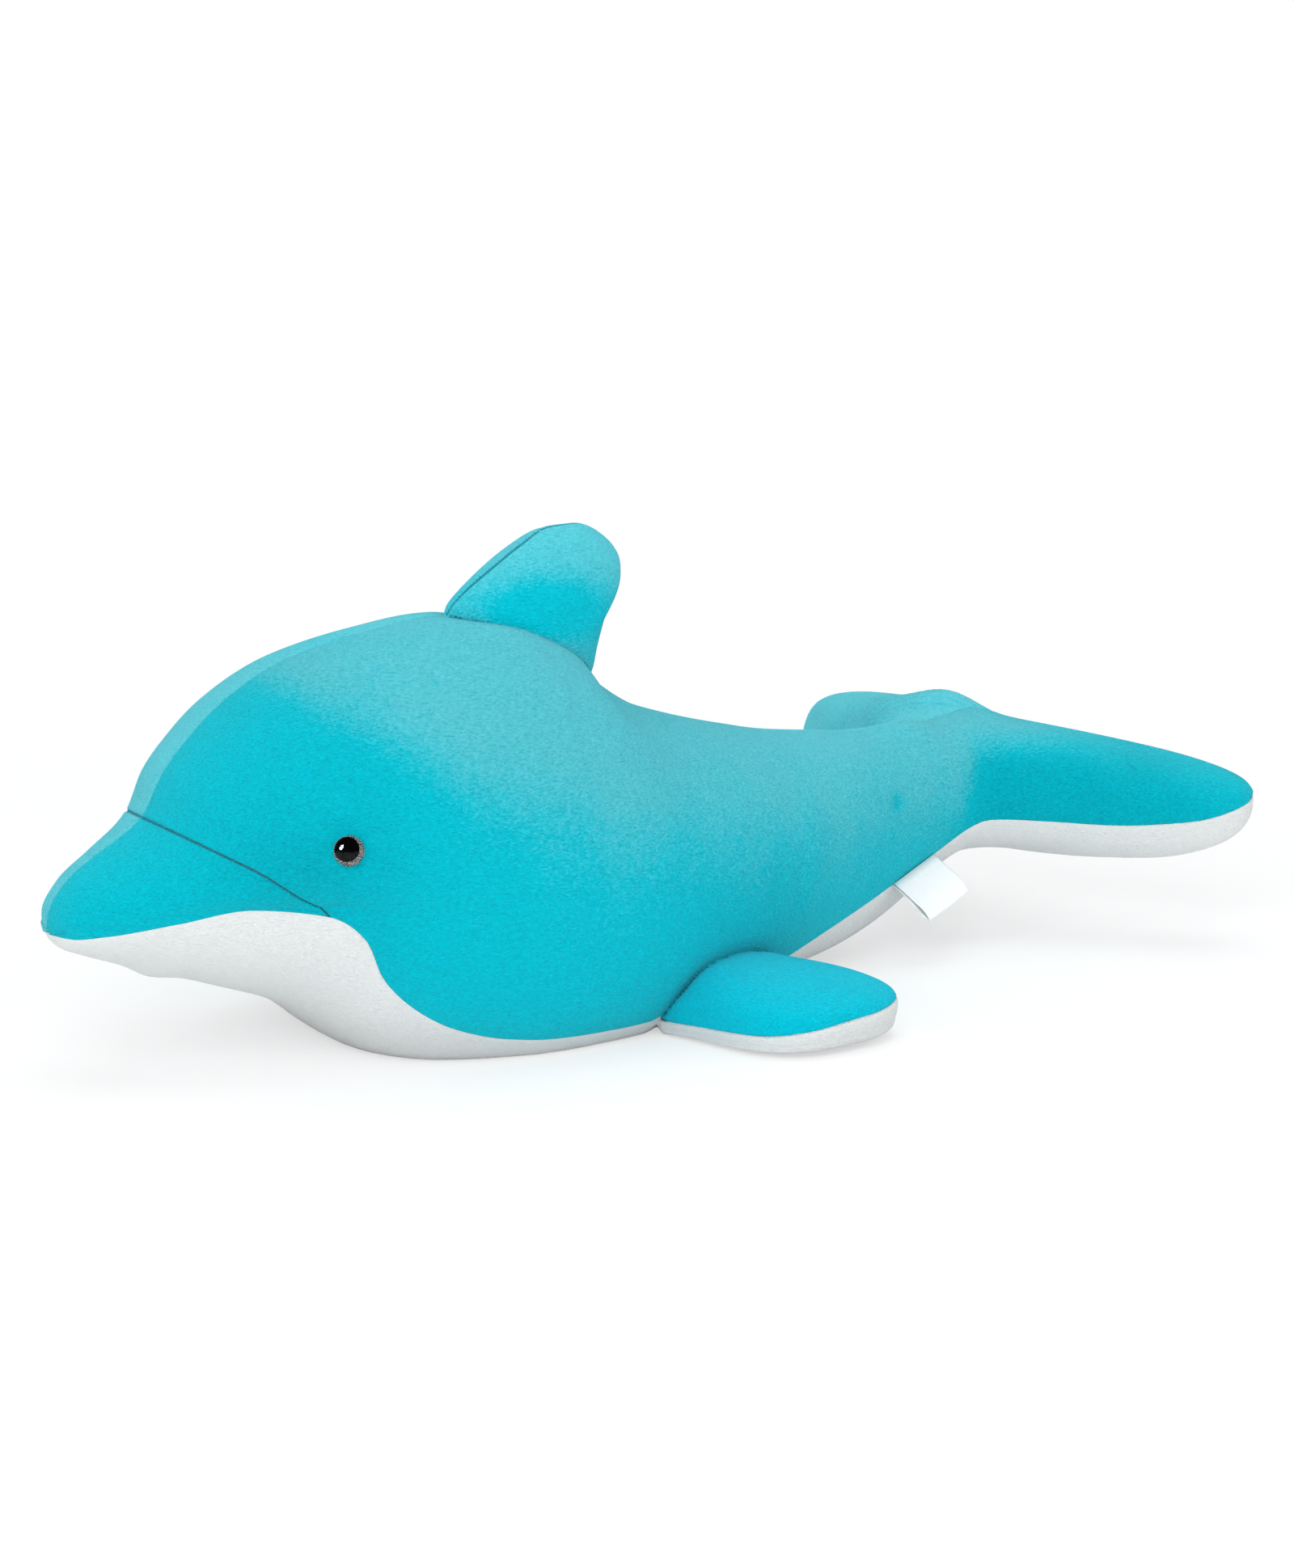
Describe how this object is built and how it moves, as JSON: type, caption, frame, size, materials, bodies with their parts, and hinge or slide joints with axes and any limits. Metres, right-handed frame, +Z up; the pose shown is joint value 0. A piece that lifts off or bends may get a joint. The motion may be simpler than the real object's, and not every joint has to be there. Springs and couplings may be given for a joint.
{
  "type": "plush dolphin",
  "caption": "Stuffed dolphin toy lying on its belly, blue velvety plush above and white below, with a back fin, two flippers, flukes, glossy domed eyes and a folded label.",
  "frame": {"origin": "on the floor, in the flat rest patch of the belly, below the spine and level with the rear of the flippers' roots", "axes": "+X from the snout towards the tail, -Y towards the dolphin's left side, +Z up"},
  "size_m": [0.6773, 0.3768, 0.251],
  "materials": {
    "blue_plush": "short pile plush with a soft sheen",
    "deep_blue_plush": "short pile plush, brushed flat so it looks deeper",
    "white_plush": "short pile plush, white",
    "stuffing": "loose polyester fibre",
    "eye_plastic": "high gloss",
    "glitter": "silver glitter film",
    "washer_plastic": "moulded",
    "satin": "woven satin ribbon, bare"
  },
  "bodies": {
    "root": {"left_side_panel": "blue_plush", "right_side_panel": "blue_plush", "snout_left_panel": "deep_blue_plush", "snout_right_panel": "deep_blue_plush", "belly_panel": "white_plush", "fin_left_panel": "blue_plush", "fin_right_panel": "blue_plush", "fin_filling": "stuffing", "left_flipper_top": "deep_blue_plush", "left_flipper_underside": "white_plush", "left_flipper_filling": "stuffing", "right_flipper_top": "deep_blue_plush", "right_flipper_underside": "white_plush", "right_flipper_filling": "stuffing", "body_filling": "stuffing", "left_eye": "eye_plastic", "left_eye_glitter_disc": "glitter", "left_eye_washer": "washer_plastic", "right_eye": "eye_plastic", "right_eye_glitter_disc": "glitter", "right_eye_washer": "washer_plastic", "label": "satin"}
  },
  "joints": []
}
